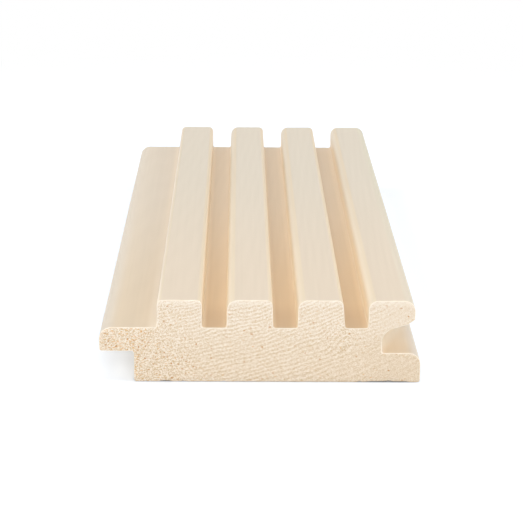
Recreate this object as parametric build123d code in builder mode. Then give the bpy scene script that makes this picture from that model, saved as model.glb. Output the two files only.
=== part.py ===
from build123d import *
import math
import os

# A tongue and groove wall board with square ribs along its face.
# It is one length of solid timber: the profile is moulded along the grain and the ends are sawn square.
# The board lies on its flat back with the ribs up. The origin is the middle of the back.
# X runs from the tongue to the groove, Y along the grain, Z up through the thickness. Millimetres.

# The board
board_length = 250.0
board_thickness = 28.0
cover_width = 93.3            # shoulder to lower lip end: the width that one fitted board adds

# The ribs and the flutes between them
rib_pitch = 22.8
rib_width = 14.5
edge_rib_width = 15.1         # the last rib, which stands over the groove
flute_depth = 9.4
rib_arris_radius = 2.0
rib_left_radius = 3.2         # the rounder arris on the tongue's side of every rib but the first
edge_rib_radius = 3.6
flute_root_radius = 0.8

# How far the flute sides lean outwards, from the top of the rib down, as (left side, right side)
flute_leans = [(0.0, 1.6), (1.8, 0.0), (4.6, 0.0)]

# The tongue, whose top is level with the flute floors
tongue_reach = 11.2
tongue_thickness = 8.1
tongue_nose_radius = 4.1
tongue_arris_radius = 0.9
rib_setback = 7.6             # the first rib's side, back from the shoulder

# The groove and its two lips
groove_depth = 12.8           # from the lower lip's end to the groove's wall
lower_lip_thickness = 10.1
lower_lip_radius = 3.9
upper_lip_end = 6.4           # from the ribs' tops down to the foot of the upper lip's end
mouth_chamfer_in = 2.2
mouth_chamfer_up = 1.65
lip_slope = 16.0              # the upper lip's underside falls inwards by this many degrees
groove_roof_radius = 4.8
groove_root_radius = 0.8
back_arris_radius = 0.9

# Levels and lines that follow from them
overall_width = cover_width + tongue_reach
tip_x = -overall_width / 2
shoulder_x = tip_x + tongue_reach
lower_lip_x = overall_width / 2
groove_wall_x = lower_lip_x - groove_depth
first_rib_x = shoulder_x + rib_setback
rib_count = len(flute_leans) + 1
last_rib_x = first_rib_x + (rib_count - 1) * rib_pitch
upper_lip_x = last_rib_x + edge_rib_width
floor_z = board_thickness - flute_depth
tongue_under_z = floor_z - tongue_thickness
lip_end_z = board_thickness - upper_lip_end
mouth_x = upper_lip_x - mouth_chamfer_in
mouth_z = lip_end_z - mouth_chamfer_up
roof_z = mouth_z - (mouth_x - groove_wall_x) * math.tan(math.radians(lip_slope))

# The section's corners as (x, z, radius), from the back's tongue side up and over to the groove
corners = [
    (shoulder_x, 0.0, back_arris_radius),
    (shoulder_x, tongue_under_z, flute_root_radius),
    (tip_x, tongue_under_z, tongue_arris_radius),
    (tip_x, floor_z, tongue_nose_radius),
    (first_rib_x, floor_z, flute_root_radius),
    (first_rib_x, board_thickness, rib_arris_radius),
]
for number, (left_lean, right_lean) in enumerate(flute_leans):
    left_x = first_rib_x + number * rib_pitch + rib_width
    right_x = first_rib_x + (number + 1) * rib_pitch
    left_spread = flute_depth * math.tan(math.radians(left_lean))
    right_spread = flute_depth * math.tan(math.radians(right_lean))
    corners += [
        (left_x, board_thickness, rib_arris_radius),
        (left_x + left_spread, floor_z, flute_root_radius),
        (right_x - right_spread, floor_z, flute_root_radius),
        (right_x, board_thickness, rib_left_radius),
    ]
corners += [
    (upper_lip_x, board_thickness, edge_rib_radius),
    (upper_lip_x, lip_end_z, 0.0),
    (mouth_x, mouth_z, 0.0),
    (groove_wall_x, roof_z, groove_roof_radius),
    (groove_wall_x, lower_lip_thickness, groove_root_radius),
    (lower_lip_x, lower_lip_thickness, lower_lip_radius),
    (lower_lip_x, 0.0, back_arris_radius),
]

# The moulded profile, drawn upright across the board and run along the grain both ways
with BuildPart() as ribbed_board:
    with BuildSketch(Plane.XZ) as section:
        with BuildLine():
            FilletPolyline(
                [(x, z) for x, z, radius in corners],
                radius=[radius for x, z, radius in corners],
                close=True,
            )
        make_face()
    extrude(amount=board_length / 2, both=True)

os.makedirs("parts", exist_ok=True)
ribbed_board.part.label = "ribbed_board"
export_step(ribbed_board.part, "parts/ribbed_board.step")
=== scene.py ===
import math
import bmesh
import bpy
from mathutils import Matrix, Vector, noise


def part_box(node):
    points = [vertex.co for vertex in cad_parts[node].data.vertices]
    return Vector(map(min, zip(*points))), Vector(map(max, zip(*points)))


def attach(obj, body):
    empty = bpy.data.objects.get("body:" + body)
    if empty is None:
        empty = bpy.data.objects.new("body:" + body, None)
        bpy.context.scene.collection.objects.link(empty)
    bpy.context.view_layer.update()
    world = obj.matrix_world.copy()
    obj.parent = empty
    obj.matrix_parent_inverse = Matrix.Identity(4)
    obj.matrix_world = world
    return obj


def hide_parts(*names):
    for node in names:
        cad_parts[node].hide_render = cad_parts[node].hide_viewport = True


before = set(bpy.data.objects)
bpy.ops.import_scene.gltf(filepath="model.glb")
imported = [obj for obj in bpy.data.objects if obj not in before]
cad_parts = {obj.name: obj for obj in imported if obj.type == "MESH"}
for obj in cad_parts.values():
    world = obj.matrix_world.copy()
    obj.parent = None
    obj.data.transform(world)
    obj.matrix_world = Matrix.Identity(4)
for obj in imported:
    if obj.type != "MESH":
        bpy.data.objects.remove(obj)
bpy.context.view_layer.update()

# The ribbed board
# One length of solid, pale, close-grained timber, uncoated. A moulder cut the flat back, ribs,
# flutes, tongue and groove along the grain in one pass, and a saw cut both ends square.

mm = 0.001
low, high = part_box("ribbed_board")
rib_pitch = 22.8 * mm
rib_width = 14.5 * mm
edge_rib_width = 15.1 * mm
flute_depth = 9.4 * mm
tongue_reach = 11.2 * mm
tongue_thickness = 8.1 * mm
rib_setback = 7.6 * mm
groove_depth = 12.8 * mm
lower_lip_thickness = 10.1 * mm
upper_lip_end = 6.4 * mm
mouth_chamfer_in = 2.2 * mm
mouth_chamfer_up = 1.65 * mm

# In degrees: how far the upper lip's underside falls inwards, and how far each flute's left and
# right side lean outwards towards the top.
lip_fall = 16.0
flute_leans = [(0.0, 1.6), (1.8, 0.0), (4.6, 0.0)]

# The cutters' rounds. On the tongue's side the second, third and fourth rib have a wider one.
rib_round = 2.0 * mm
rib_left_round = 3.2 * mm
edge_rib_round = 3.6 * mm
tongue_nose_round = 4.1 * mm
groove_roof_round = 4.8 * mm
lower_lip_round = 3.9 * mm
root_round = 0.8 * mm
back_round = 0.9 * mm

shoulder_x = low.x + tongue_reach
first_rib_x = shoulder_x + rib_setback
floor_z = high.z - flute_depth
tongue_under_z = floor_z - tongue_thickness
groove_wall_x = high.x - groove_depth
upper_lip_x = first_rib_x + len(flute_leans) * rib_pitch + edge_rib_width
lip_end_z = high.z - upper_lip_end
mouth_x = upper_lip_x - mouth_chamfer_in
mouth_z = lip_end_z - mouth_chamfer_up
roof_z = mouth_z - (mouth_x - groove_wall_x) * math.tan(math.radians(lip_fall))

# The section's corners as across, up and radius, from the back's tongue side round to the groove.
section_corners = [
    (shoulder_x, low.z, back_round),
    (shoulder_x, tongue_under_z, root_round),
    (low.x, tongue_under_z, back_round),
    (low.x, floor_z, tongue_nose_round),
    (first_rib_x, floor_z, root_round),
    (first_rib_x, high.z, rib_round),
]
for number, (left_lean, right_lean) in enumerate(flute_leans):
    left_x = first_rib_x + number * rib_pitch + rib_width
    right_x = first_rib_x + (number + 1) * rib_pitch
    section_corners += [
        (left_x, high.z, rib_round),
        (left_x + flute_depth * math.tan(math.radians(left_lean)), floor_z, root_round),
        (right_x - flute_depth * math.tan(math.radians(right_lean)), floor_z, root_round),
        (right_x, high.z, rib_left_round),
    ]
section_corners += [
    (upper_lip_x, high.z, edge_rib_round),
    (upper_lip_x, lip_end_z, 0.0),
    (mouth_x, mouth_z, 0.0),
    (groove_wall_x, roof_z, groove_roof_round),
    (groove_wall_x, lower_lip_thickness, root_round),
    (high.x, lower_lip_thickness, lower_lip_round),
    (high.x, low.z, back_round),
]


def rounded_section(corners):
    """The section as one flat face across the board, each corner rounded to its radius."""
    bm = bmesh.new()
    verts = [bm.verts.new((x, 0.0, z)) for x, z, _ in corners]
    bm.faces.new(verts)
    for index, (x, z, radius) in enumerate(corners):
        if radius == 0.0:
            continue
        here = Vector((x, z))
        before = Vector(corners[index - 1][:2]) - here
        after = Vector(corners[(index + 1) % len(corners)][:2]) - here
        reach = radius / math.tan(before.angle(after) / 2)
        bmesh.ops.bevel(
            bm, geom=[verts[index]], offset=reach, offset_type="OFFSET", affect="VERTICES",
            segments=8, profile=0.5, material=-1, clamp_overlap=False,
        )
    return bm


def cut_across(bm, direction, places):
    """Cuts every face of bm by planes that face along direction, at those distances."""
    tolerance = 0.0001 * mm
    for place in places:
        bmesh.ops.bisect_plane(
            bm, geom=bm.verts[:] + bm.edges[:] + bm.faces[:], dist=tolerance,
            plane_co=Vector(direction) * place, plane_no=direction,
        )


# The saw left the ends square but not smooth. Their arris is eased by about a third of a
# millimetre, unevenly, the end grain lies a few hundredths deep, and the lower arris is torn,
# with a painted contact shadow along it. The vertices keep how far in from the arris and how much
# painted contact shadow they carry.
arris = 0.35 * mm
arris_steps = (0.12, 0.3, 0.58)
cell = 0.32 * mm
end_stations = [step * mm for step in (1.4, 2.4, 4.5, 10.0, 30.0, 80.0)]

board = rounded_section(section_corners)
rim = board.verts.layers.float.new("rim")
contact_shadow = board.verts.layers.float.new("contact_shadow")
inside = board.faces[:]
eased = 0.0
for share in arris_steps:
    bmesh.ops.inset_region(
        board, faces=inside, thickness=share * arris, use_even_offset=True, use_boundary=True,
    )
    eased += share
    for vert in inside[0].verts:
        vert[rim] = eased
sideways = [low.x + (step + 0.5) * cell for step in range(int((high.x - low.x) / cell))]
upward = [low.z + (step + 0.5) * cell for step in range(int((high.z - low.z) / cell))]
cut_across(board, (0, 0, 1), upward)
cut_across(board, (1, 0, 0), sideways)

extruded = bmesh.ops.extrude_face_region(board, geom=board.faces[:])
far_end = {item for item in extruded["geom"] if isinstance(item, bmesh.types.BMVert)}

# The saw marks' depths in millimetres, and their scales per millimetre.
mean_dip = 0.04
coarse_dip, coarse_marks = 0.015, 0.9
fine_dip, fine_marks = 0.01, 2.3
dip_seed = 10


def dip_of(x, z, side):
    """How deep the sawn surface lies below the end plane at a place, in metres."""
    place = Vector((x, side * dip_seed, z)) / mm
    coarse = noise.noise(place * coarse_marks)
    fine = noise.noise(place * fine_marks)
    return (mean_dip + coarse_dip * coarse + fine_dip * fine) * mm


wear_amount, wear_scale = 0.7, 0.45
for vert in board.verts:
    x, y, z = vert.co
    side = 1 if vert in far_end else -1
    inset = vert[rim]
    wear = 1.0 + wear_amount * noise.noise(Vector((x, side, z)) / mm * wear_scale)
    ease = arris * wear * (1 - math.sqrt(max(0.0, 1 - (1 - inset) ** 2)))
    dip = dip_of(x, z, side) * inset
    vert.co.y = side * (high.y - ease - dip)
cut_across(board, (0, 1, 0), [low.y + step for step in end_stations])
cut_across(board, (0, 1, 0), [high.y - step for step in end_stations])

# The lower arris is chipped here and there, and torn for a stretch under the groove. All these
# places and scales are in millimetres.
tear_seed, tear_seed_step = 3065.45, 7.0
chip_scale, small_chip_scale = 0.35, 1.3
small_chips = 0.6
unchipped = 0.22
chip_weight, torn_weight = 1.9, 0.75
torn_from, torn_rise = 33.0, 3.0
torn_to, torn_fall = 49.5, 2.0


def tear_of(x, side):
    """How badly the saw tore the lower arris at a place: 0 where it left it whole."""
    place = Vector((x / mm, side * tear_seed_step + tear_seed, 3.0))
    chips = noise.noise(place * chip_scale) + small_chips * noise.noise(place * small_chip_scale)
    chips = max(0.0, chips - unchipped)
    begun = min(1.0, max(0.0, (x / mm - torn_from) / torn_rise))
    not_over = min(1.0, max(0.0, (torn_to - x / mm) / torn_fall))
    torn = begun * not_over
    return chip_weight * chips + torn_weight * torn


tear_height = 1.6 * mm
tear_length = 9.0 * mm
contact_shadow_height = 0.45 * mm
least_lift, torn_lift = 0.04, 0.22
for vert in board.verts:
    x, y, z = vert.co
    side = 1 if y > 0 else -1
    inward = 1 - (high.y - abs(y)) / tear_length
    lowness = 1 - (z - low.z) / tear_height
    if inward > 0 and lowness > 0:
        tear = tear_of(x, side)
        vert.co.z += (least_lift + torn_lift * tear) * mm * inward * lowness
        # The lowest 0.45 mm of the torn arris carries a painted contact shadow, as strong as the
        # tear.
        vert[contact_shadow] = tear * max(0.0, 1 - (z - low.z) / contact_shadow_height)
bmesh.ops.recalc_face_normals(board, faces=board.faces[:])

# A face whose middle lies nearer than this to an end is end grain.
sawn_depth = 0.7 * mm
for face in board.faces:
    face.smooth = True
    middle = face.calc_center_median()
    face.material_index = 1 if abs(middle.y) > high.y - sawn_depth else 0

board_mesh = bpy.data.meshes.new("ribbed_timber")
board.to_mesh(board_mesh)
board.free()
timber = bpy.data.objects.new("ribbed_timber", board_mesh)
bpy.context.scene.collection.objects.link(timber)
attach(timber, "root")
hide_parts("ribbed_board")


class Value:
    """A number that runs through a material's nodes. Sums on it add Math nodes."""

    def __init__(self, tree, socket):
        self.tree = tree
        self.socket = socket

    def maths(self, operation, first, second=None):
        """A Math node on one or two items, each a value or a plain number."""
        node = self.tree.nodes.new("ShaderNodeMath")
        node.operation = operation
        for slot, item in zip(node.inputs, (first, second)):
            if isinstance(item, Value):
                self.tree.links.new(item.socket, slot)
            elif item is not None:
                slot.default_value = item
        return Value(self.tree, node.outputs[0])

    def __add__(self, other):
        return self.maths("ADD", self, other)

    __radd__ = __add__

    def __mul__(self, other):
        return self.maths("MULTIPLY", self, other)

    __rmul__ = __mul__

    def __sub__(self, other):
        return self.maths("SUBTRACT", self, other)

    def __rsub__(self, other):
        return self.maths("SUBTRACT", other, self)

    def __truediv__(self, other):
        return self.maths("DIVIDE", self, other)

    def __rtruediv__(self, other):
        return self.maths("DIVIDE", other, self)

    def __pow__(self, other):
        return self.maths("POWER", self, other)

    def __rpow__(self, other):
        return self.maths("POWER", other, self)


class Nodes:
    """The nodes of a finish or of the sky. Most calls add one and give back its output."""

    def __init__(self, tree):
        self.tree = tree

    def plug(self, socket, item):
        """Links a value to a socket, or sets a plain number or colour on it."""
        if isinstance(item, Value):
            self.tree.links.new(item.socket, socket)
        else:
            socket.default_value = item

    def node(self, kind, settings, inputs, output=0):
        """Any kind of node: its settings first, then the values or links of its sockets."""
        made = self.tree.nodes.new("ShaderNode" + kind)
        for name, setting in settings.items():
            setattr(made, name, setting)
        for name, item in inputs.items():
            self.plug(made.inputs[name], item)
        return Value(self.tree, made.outputs[output])

    def other_output(self, value, name):
        """Another output of the node that a value comes from."""
        return Value(self.tree, value.socket.node.outputs[name])

    def outputs_of(self, value):
        """Every output of the node that a value comes from."""
        return [Value(self.tree, output) for output in value.socket.node.outputs]

    def colour_mix(self, share, one, other):
        """One colour where share is 0, the other where it is 1, and a mix between."""
        settings = {"data_type": "RGBA", "clamp_factor": True}
        return self.node("Mix", settings, {0: share, 6: one, 7: other}, 2)

    def colour_product(self, one, other):
        """One colour tinted by another."""
        settings = {"data_type": "RGBA", "blend_type": "MULTIPLY"}
        return self.node("Mix", settings, {0: 1.0, 6: one, 7: other}, 2)

    def stretched(self, place, amounts):
        """A place with each of its three directions scaled by its own amount."""
        return self.node("VectorMath", {"operation": "MULTIPLY"}, {0: place, 1: amounts})

    def step(self, value, start, end):
        """0 before start, 1 past end, and a smooth rise between."""
        settings = {"interpolation_type": "SMOOTHSTEP"}
        places = {"Value": value, "From Min": start, "From Max": end}
        return self.node("MapRange", settings, places)

    def noise(self, place, scale, detail=2.0):
        """Noise from -1 to 1."""
        inputs = {"Vector": place, "Scale": scale, "Detail": detail}
        return self.node("TexNoise", {}, inputs) * 2.0 - 1.0


class Finish(Nodes):
    """A material in the making, with the shader of its surface."""

    def __init__(self, name):
        self.material = bpy.data.materials.new(name)
        self.material.use_nodes = True
        super().__init__(self.material.node_tree)
        self.shader = self.tree.nodes["Principled BSDF"]


# The tree, in millimetres in the section's plane. Its pith lies far above the board's left edge,
# its rings widen away from the pith and waver, and a small knot on the right bulges them.
pith_x, pith_z = -67.0, 227.0
pith_drift_x, pith_drift_z = 0.02, 0.035
inner_ring_radius = 213.0
inner_ring_width = 1.11
ring_widening = 0.0117
knot_x, knot_z = 26.3, 16.4
knot_reach = 8.0
knot_bulge = 3.0
ring_wavers = ((3.0, 0.03), (0.7, 0.13), (0.25, 0.5))
fibre_stretch = 0.04


class Timber(Finish):
    """A finish that knows each place in millimetres, and where in the tree it grew."""

    def __init__(self, name):
        super().__init__(name)
        places = self.node("TexCoord", {}, {}, "Object")
        places = self.node("VectorMath", {"operation": "SCALE"}, {0: places, "Scale": 1 / mm})
        fibres = self.stretched(places, (1.0, fibre_stretch, 1.0))
        x, y, z = self.outputs_of(self.node("SeparateXYZ", {}, {0: places}))
        waver = sum(reach * self.noise(fibres, scale) for reach, scale in ring_wavers)
        knot_off_x, knot_off_z = x - knot_x, z - knot_z
        knot_distance = (knot_off_x * knot_off_x + knot_off_z * knot_off_z) ** 0.5
        knot = self.step(knot_distance, knot_reach, 0.0)
        off_x = x - pith_x + pith_drift_x * y
        off_z = z - pith_z + pith_drift_z * y
        radius = (off_x * off_x + off_z * off_z) ** 0.5 + waver + knot_bulge * knot
        thinning = math.e ** ((radius - inner_ring_radius) * -ring_widening)
        turns = (1.0 - thinning) / (ring_widening * inner_ring_width) * (2 * math.pi)
        self.places, self.fibres = places, fibres
        self.x, self.y, self.z = x, y, z
        self.knot = knot
        self.radius = radius
        self.around = inner_ring_radius * off_x.maths("ARCTAN2", off_x, off_z)
        self.rings = turns.maths("SINE", turns)


def sawn_end_grain():
    """The sawn ends: fine pores, the rings' arcs, resin blots and pits, painted highlights on the
    upper edges and eased arris, and a painted contact shadow on the torn lower arris.
    """
    finish = Timber("sawn_end_grain")
    places, fibres, knot = finish.places, finish.fibres, finish.knot
    x, y, z = finish.x, finish.y, finish.z

    # The grain is curly on the tongue's side and round the knot, and calmer by the groove.
    curly = finish.step(x + 0.5 * z + 6.0 * finish.noise(fibres, 0.1), -8.0, -30.0)
    curly = curly.maths("MAXIMUM", curly, 0.6 * knot)
    calm = 1.0 - finish.step(x, 27.0, 44.0) * (0.28 + 0.2 * finish.step(z, 8.0, 24.0))

    # The rings' lines come and go, over pores and over short dashes that lie along the rings.
    around, radius = finish.around * 0.5, finish.radius * 1.25
    cells = finish.node("CombineXYZ", {}, {"X": around, "Y": radius, "Z": y * fibre_stretch})
    clear = finish.step(finish.noise(cells, 0.22), -0.45, 0.35)
    faded = 0.6 * finish.step(x - z, 8.0, 28.0)
    lines = finish.rings * (0.35 + 0.65 * clear) * (1.0 - 0.75 * curly) * (1.0 - faded)
    pores = finish.noise(places, 3.3, 0.0)
    dashes = finish.noise(cells, 2.6, 0.0)
    shade = 0.28 * lines + (0.68 + 0.8 * curly) * pores + (0.4 + 0.4 * curly) * dashes
    shade = 0.42 + calm * shade

    # The lower part is a deeper tone, most of all towards the groove: partly the wood's own tone,
    # partly painted shade from light that falls from above.
    lower = finish.step(z + 2.0 * finish.noise(fibres, 0.1), 22.0, 9.0)
    deeper_tone_and_shade = lower * (0.6 + 0.4 * finish.step(x, 10.0, 45.0))
    light = finish.colour_mix(deeper_tone_and_shade, (0.925, 0.835, 0.73, 1), (0.875, 0.765, 0.635, 1))
    dark = finish.colour_mix(deeper_tone_and_shade, (0.675, 0.515, 0.32, 1), (0.61, 0.45, 0.26, 1))
    colour = finish.colour_mix(shade, light, dark)

    # Orange blots of resin, more of them in the curly grain and at the tongue.
    blots = dashes + 0.3 * finish.noise(places, 0.35)
    resinous = finish.step(x + 3.0 * finish.noise(fibres, 0.2), -34.0, -42.0)
    threshold = 0.5 - 0.12 * curly - 0.2 * resinous
    stained = finish.step(blots, threshold, threshold + 0.25)
    colour = finish.colour_mix(stained * 0.85, colour, (0.78, 0.47, 0.18, 1))

    # Small dark pits, each with its own odds, size and depth.
    wobble = finish.node("TexNoise", {}, {"Vector": places, "Scale": 0.9}, "Color")
    moved = {0: wobble, 1: (1.1, 0.0, 1.1), 2: places}
    moved = finish.node("VectorMath", {"operation": "MULTIPLY_ADD"}, moved)
    moved = finish.stretched(moved, (1.0, fibre_stretch, 1.2))
    pits = finish.node("TexVoronoi", {}, {"Vector": moved, "Scale": 0.85}, "Distance")
    chance = finish.other_output(pits, "Color")
    odds, size, depth = finish.outputs_of(finish.node("SeparateColor", {}, {0: chance}))
    chosen = odds.maths("GREATER_THAN", odds, 0.95 - 0.28 * curly - 0.1 * resinous)
    dots = (1.0 - finish.step(pits, 0.06 + 0.16 * size, 0.24 + 0.2 * size)) * chosen
    colour = finish.colour_mix(dots * (0.35 + 0.6 * depth), colour, (0.55, 0.28, 0.09, 1))

    # The ribs' upper edges and the eased arris are paler, a painted highlight, and the torn lower
    # arris is dark, a painted contact shadow.
    crown_highlight = finish.step(z + 0.5 * finish.noise(places, 0.5), 25.4, 27.2)
    colour = finish.colour_mix(crown_highlight * 0.4, colour, (0.935, 0.85, 0.735, 1))
    inset = finish.node("Attribute", {"attribute_name": "rim"}, {}, "Fac")
    arris_highlight = (1.0 - finish.step(inset, 0.4, 1.0)) * finish.step(z, 0.4, 1.4)
    arris_highlight = arris_highlight * (1.0 - 0.5 * finish.step(z, 26.6, 27.6))
    colour = finish.colour_mix(arris_highlight * 0.7, colour, (0.945, 0.86, 0.745, 1))
    # The torn lower arris is painted near-black: a painted contact shadow.
    contact_shadow_line = finish.node("Attribute", {"attribute_name": "contact_shadow"}, {}, "Fac")
    contact_shadow_line = finish.step(contact_shadow_line, 0.1, 0.6)
    colour = finish.colour_mix(contact_shadow_line * 0.9, colour, (0.10, 0.095, 0.09, 1))

    finish.plug(finish.shader.inputs["Base Color"], colour)
    finish.shader.inputs["Roughness"].default_value = 0.8
    height = 0.35 * pores - 0.2 * lines - dots - 0.4 * stained
    bump = {"Height": height, "Distance": 0.05 * mm, "Strength": 0.12}
    finish.plug(finish.shader.inputs["Normal"], finish.node("Bump", {}, bump))
    return finish.material


def planed_timber():
    """The moulder's faces: long straight fibres, and a tone for each kind of face that paints the
    light and shade it gets.
    """
    finish = Timber("planed_timber")
    x, y, z = finish.x, finish.y, finish.z
    # Along the length each tone shifts: painted sheen at the far end, painted light and shade at
    # the near.
    lengthwise_light = finish.step(y, 60.0, -125.0)
    first_flute_x = (first_rib_x + rib_width) / mm
    from_flute = x - first_flute_x
    from_flute = from_flute.maths("FLOORED_MODULO", from_flute, rib_pitch / mm)
    left_round = finish.step(from_flute, 16.0, 12.0) * finish.step(from_flute, 2.0, 6.0)

    # The tongue's top is greyer at its nose, and paler at the first rib's root, painted light.
    tongue = finish.colour_mix(lengthwise_light, (0.66, 0.57, 0.456, 1), (0.675, 0.551, 0.398, 1))
    nose = finish.step(x, -46.0, -50.0)
    tongue = finish.colour_mix(nose, tongue, (0.665, 0.58, 0.47, 1))
    root = finish.step(x, -37.5, -34.5)
    tongue = finish.colour_mix(root, tongue, (0.735, 0.63, 0.495, 1))

    # The flutes' floors deepen towards the near end, painted shade, and are pale along their
    # roots, painted light.
    flute = finish.colour_mix(lengthwise_light, (0.745, 0.617, 0.46, 1), (0.727, 0.532, 0.317, 1))
    flute_end_shade = finish.step(y, -98.0, -116.0)
    flute = finish.colour_mix(flute_end_shade, flute, (0.653, 0.463, 0.27, 1))
    root_light = finish.step(from_flute, 1.9, 0.4) + 0.3 * finish.step(from_flute, 5.8, 7.8)
    flute = finish.colour_mix(root_light * 0.6, flute, (0.96, 0.79, 0.58, 1))
    floors = finish.colour_mix(finish.step(x, -33.0, -34.0), flute, tongue)

    # The ribs' tops are a deeper tone, painted shade, and a little paler and warmer where the
    # rounds begin, a painted highlight.
    top = finish.colour_mix(lengthwise_light, (0.61, 0.541, 0.439, 1), (0.653, 0.55, 0.428, 1))
    round_highlight = finish.colour_mix(lengthwise_light, (0.66, 0.55, 0.395, 1), (0.715, 0.60, 0.435, 1))
    top = finish.colour_mix(finish.step(z, 27.99, 27.75), top, round_highlight)

    # The ribs' sides are pale below, painted light, and deeper above, painted shade, most of all
    # on the wide left rounds.
    side = finish.colour_mix(lengthwise_light, (0.87, 0.745, 0.59, 1), (0.94, 0.815, 0.63, 1))
    side_top_shade = finish.colour_mix(lengthwise_light, (0.80, 0.685, 0.53, 1), (0.865, 0.74, 0.565, 1))
    wide_round_shade = finish.colour_mix(lengthwise_light, (0.71, 0.63, 0.51, 1), (0.825, 0.715, 0.56, 1))
    side_top_shade = finish.colour_mix(left_round, side_top_shade, wide_round_shade)
    side = finish.colour_mix(finish.step(z, 21.0, 26.5), side, side_top_shade)
    side = finish.colour_mix(finish.step(z, 26.6, 27.8 + 0.2 * left_round), side, top)

    # The first rib's outer side is paler towards the near end: painted light.
    outer_end_light = finish.step(y, -85.0, -125.0)
    outer = finish.colour_mix(outer_end_light, (0.765, 0.655, 0.53, 1), (0.91, 0.80, 0.65, 1))
    outer = finish.colour_mix(finish.step(z, 27.2, 27.95), outer, top)
    colour = finish.colour_mix(finish.step(x, -32.2, -33.2), side, outer)

    # The wide round over the groove is painted as deep as the tops: painted shade.
    edge_rib = finish.step(x, 46.0, 47.5) * finish.step(z, 23.5, 26.0)
    edge_round_shade = finish.colour_mix(lengthwise_light, (0.61, 0.56, 0.44, 1), (0.65, 0.573, 0.45, 1))
    colour = finish.colour_mix(edge_rib, colour, edge_round_shade)

    # Everything from the flutes' floors down to the groove takes the floors' tones.
    colour = finish.colour_mix(finish.step(z, 19.0, 18.65), colour, floors)

    # The groove is deeper at the near end and on the lower lip's round, both painted shade, and
    # paler further in, painted light beyond the upper lip's shadow. The back is plain.
    groove_end_shade = finish.step(y, -108.0, -121.0)
    groove = finish.colour_mix(groove_end_shade, (0.845, 0.74, 0.60, 1), (0.80, 0.665, 0.495, 1))
    groove_light = finish.step(x - 0.4 * y, 90.6, 86.1)
    groove = finish.colour_mix(groove_light, groove, (0.92, 0.855, 0.75, 1))
    lip_round_shade = finish.step(x, 47.2, 51.0) * finish.step(z, 5.0, 7.5)
    groove = finish.colour_mix(lip_round_shade, groove, (0.67, 0.585, 0.48, 1))
    back = finish.colour_mix(finish.step(x, 36.0, 40.0), (0.86, 0.755, 0.61, 1), groove)
    colour = finish.colour_mix(finish.step(z, 17.0, 12.0), colour, back)

    # Faint streaks along the fibres lie over every tone.
    long_fibres = finish.stretched(finish.places, (1.0, 0.012, 1.0))
    streaks = finish.noise(long_fibres, 0.9, 3.0)
    broad = finish.noise(finish.fibres, 0.05)
    shade = 0.5 + 0.5 * streaks + 0.4 * broad + 0.1 * finish.rings
    tint = finish.colour_mix(shade, (1.035, 1.035, 1.035, 1), (0.965, 0.96, 0.945, 1))
    colour = finish.colour_product(colour, tint)

    finish.plug(finish.shader.inputs["Base Color"], colour)
    finish.shader.inputs["Roughness"].default_value = 0.45
    height = 0.5 * streaks + 0.2 * finish.rings
    bump = {"Height": height, "Distance": 0.02 * mm, "Strength": 0.5}
    finish.plug(finish.shader.inputs["Normal"], finish.node("Bump", {}, bump))
    return finish.material


board_mesh.materials.append(planed_timber())
board_mesh.materials.append(sawn_end_grain())

# The studio
# A flat white floor that the camera sees as pure white, but for the board's shadow. Four square
# soft lights stand in front, left, overhead and right, and a plain white sky fills in the rest.

# The view that fits the photograph's edges: its width and focal length are in pixels.
view_width = 523
view_focal = 1713.6
camera_place = Vector((-7.342, -647.029, 204.023)) * mm
camera_right = Vector((0.999894, -0.01165, 0.008685))
camera_down = Vector((0.004821, -0.297892, -0.954587))
camera_forward = camera_right.cross(camera_down)

camera_data = bpy.data.cameras.new("camera")
camera_data.lens = camera_data.sensor_width * view_focal / view_width
camera_data.clip_start = 1 * mm
camera = bpy.data.objects.new("camera", camera_data)
turn = Matrix((camera_right, -camera_down, -camera_forward)).transposed()
camera.matrix_world = Matrix.Translation(camera_place) @ turn.to_4x4()
bpy.context.scene.collection.objects.link(camera)
bpy.context.scene.camera = camera

floor_half = 6.0
floor_bm = bmesh.new()
bmesh.ops.create_grid(floor_bm, x_segments=1, y_segments=1, size=floor_half)
floor_mesh = bpy.data.meshes.new("floor")
floor_bm.to_mesh(floor_mesh)
floor_bm.free()
floor = bpy.data.objects.new("floor", floor_mesh)
bpy.context.scene.collection.objects.link(floor)

# The camera and the gloss see a floor that takes shadows near the board, with a faint glow that
# the board's contact dims, and is plain white beyond. All other light meets a pale grey floor.
floor_grey = (0.8, 0.8, 0.8, 1)
shadow_floor = (0.80, 0.85, 0.92, 1)
glow_strength = 0.2
contact_reach = 0.8 * mm
white_from, white_past = 0.2, 0.45

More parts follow.
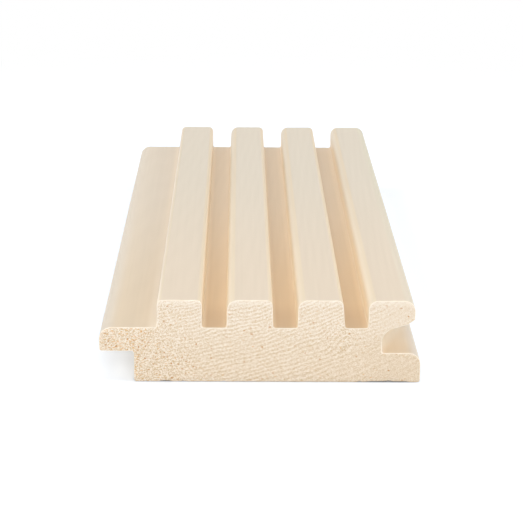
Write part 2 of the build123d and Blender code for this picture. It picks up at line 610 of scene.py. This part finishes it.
white_floor = Finish("white_floor")
white_floor.tree.nodes.remove(white_floor.shader)
seen = white_floor.node("LightPath", {}, {}, "Is Camera Ray")
mirrored = white_floor.other_output(seen, "Is Glossy Ray")
lit = white_floor.node("BsdfDiffuse", {}, {"Color": floor_grey})
shaded = white_floor.node("BsdfDiffuse", {}, {"Color": shadow_floor})
contact = {"Distance": contact_reach}
openness = white_floor.node("AmbientOcclusion", {"samples": 8}, contact, "Color")
glow = white_floor.node("Emission", {}, {"Color": openness, "Strength": glow_strength})
white = white_floor.node("AddShader", {}, {0: shaded, 1: glow})
floor_places = white_floor.node("TexCoord", {}, {}, "Object")
distance = white_floor.node("VectorMath", {"operation": "LENGTH"}, {0: floor_places}, "Value")
afar = white_floor.step(distance, white_from, white_past)
plain = white_floor.node("Emission", {}, {"Strength": 1.0})
white = white_floor.node("MixShader", {}, {0: afar, 1: white, 2: plain})
either = seen.maths("MAXIMUM", seen, mirrored)
surface = white_floor.node("MixShader", {}, {0: either, 1: lit, 2: white})
white_floor.plug(white_floor.tree.nodes["Material Output"].inputs["Surface"], surface)
floor_mesh.materials.append(white_floor.material)

# The sky looks pure white to the camera and in gloss, but lights the board less than that.
sky_level = 0.47
world = bpy.data.worlds.new("studio")
world.use_nodes = True
bpy.context.scene.world = world
sky = Nodes(world.node_tree)
seen = sky.node("LightPath", {}, {}, "Is Camera Ray")
either = seen.maths("MAXIMUM", seen, sky.other_output(seen, "Is Glossy Ray"))
background = sky.tree.nodes["Background"]
sky.plug(background.inputs["Strength"], either * (1.0 - sky_level) + sky_level)
sky.plug(background.inputs["Color"], (1, 1, 1, 1))

lamp_size = 0.9
board_place = Vector((0, 0, 0))


def soft_light(name, place, power):
    """A square soft light at place, in metres, that faces the board."""
    data = bpy.data.lights.new(name, "AREA")
    data.size = lamp_size
    data.energy = power
    lamp = bpy.data.objects.new(name, data)
    lamp.location = place
    lamp.rotation_euler = (board_place - Vector(place)).to_track_quat("-Z", "Y").to_euler()
    bpy.context.scene.collection.objects.link(lamp)


soft_light("front_light", (0.0, -1.5, 0.7), 9.0)
soft_light("left_light", (-1.1, 0.0, 1.1), 9.6)
soft_light("top_light", (0.0, 0.0, 1.5), 3.7)
soft_light("right_light", (1.4, 0.0, 0.8), 9.9)

bpy.context.scene.view_settings.view_transform = "Standard"
